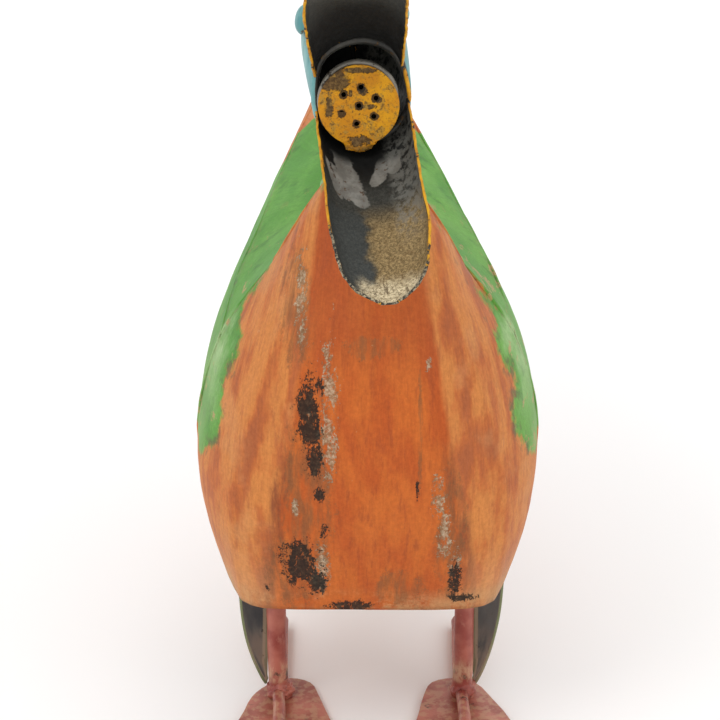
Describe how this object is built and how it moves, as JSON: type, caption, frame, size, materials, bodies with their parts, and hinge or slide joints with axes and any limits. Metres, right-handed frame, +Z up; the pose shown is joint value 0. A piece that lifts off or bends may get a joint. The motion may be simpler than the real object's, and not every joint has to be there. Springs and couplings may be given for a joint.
{
  "type": "duck watering can",
  "caption": "Painted sheet-metal duck watering can on webbed feet, with a sprinkler rose inside its open bill, a hinged filler lid and a strap handle on the back.",
  "frame": {"origin": "on the ground, under the middle of the duck's length", "axes": "+Z up, -Y the way the bill points, +X the duck's own left"},
  "size_m": [0.1606, 0.4874, 0.4149],
  "materials": {
    "orange_paint": "hand-brushed, streaked and worn",
    "green_paint": "hand-brushed, scuffed",
    "teal_paint": "hand-brushed, worn at the edges",
    "yellow_paint": "chipped down to the steel",
    "red_paint": "worn dark red",
    "slate_paint": "dark slate with a pale stripe",
    "bare_steel": "bare and lightly rusted"
  },
  "bodies": {
    "can": {"breast_panel": "orange_paint", "breast_side_left": "orange_paint", "breast_side_right": "orange_paint", "flank_left": "orange_paint", "flank_right": "orange_paint", "back_left": "green_paint", "back_right": "green_paint", "neck_rear": "orange_paint", "neck_sleeve": "orange_paint", "belly_plate": "orange_paint", "belly_rear": "orange_paint", "rump_cap": "orange_paint", "tail_fan": "orange_paint", "water_pipe": "bare_steel", "head_left": "teal_paint", "head_right": "teal_paint", "eye_boss_left": "teal_paint", "eye_boss_right": "teal_paint", "lower_bill": "yellow_paint", "upper_bill": "yellow_paint", "rose_disc": "yellow_paint", "rose_barrel": "yellow_paint", "filler_collar": "green_paint", "hinge_pin": "bare_steel", "hinge_bracket": "green_paint", "handle_strap": "green_paint", "handle_rivet_left": "bare_steel", "handle_rivet_right": "bare_steel", "foot_left": "red_paint", "foot_right": "red_paint", "leg_left": "red_paint", "leg_right": "red_paint", "leg_pad_left": "red_paint", "leg_pad_right": "red_paint", "pad_rivet_front_left": "red_paint", "pad_rivet_front_right": "red_paint", "pad_rivet_rear_left": "red_paint", "pad_rivet_rear_right": "red_paint", "middle_toe_left": "red_paint", "middle_toe_right": "red_paint", "hind_toe_left": "red_paint", "hind_toe_right": "red_paint", "thigh_left": "slate_paint", "thigh_right": "slate_paint"},
    "lid": {"filler_lid": "green_paint", "lid_knob": "red_paint"}
  },
  "joints": [
    {"name": "lid_hinge", "type": "hinge", "parent": "can", "child": "lid", "pos_m": [-0.0005, -0.0165, 0.2525], "axis": [-1, 0, 0], "range_deg": [0, 105]}
  ]
}
